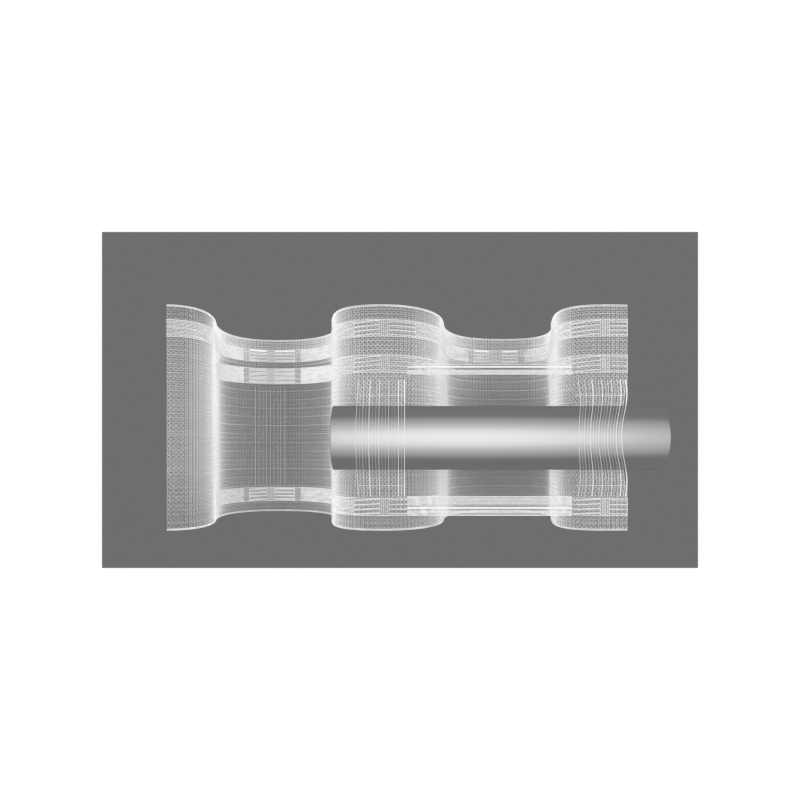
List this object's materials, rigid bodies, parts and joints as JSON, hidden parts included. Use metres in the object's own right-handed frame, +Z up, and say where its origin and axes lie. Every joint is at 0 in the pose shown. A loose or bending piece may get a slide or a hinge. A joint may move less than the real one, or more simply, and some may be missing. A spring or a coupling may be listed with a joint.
{
  "type": "curtain heading tape on a rod",
  "caption": "Length of transparent net curtain heading tape standing in deep waves, threaded on a round metal rod, with straight draw straps.",
  "frame": {"origin": "centre of the rod's right end face", "axes": "+X along the rod, out of its right end; +Z up; the front of the tape faces -Y"},
  "size_m": [0.2171, 0.1153, 0.1001],
  "materials": {
    "tape_net": "clear and white woven synthetic net with denser white bands",
    "pocket_thread": "clear synthetic float threads",
    "draw_strap": "white woven strap with a cord along it",
    "rod_metal": "satin silver"
  },
  "bodies": {
    "root": {"tape_ground": "tape_net", "rod_pocket_middle": "pocket_thread", "rod_pocket_end": "pocket_thread", "draw_strap_upper": "draw_strap", "draw_strap_lower": "draw_strap", "rod": "rod_metal"}
  },
  "joints": []
}
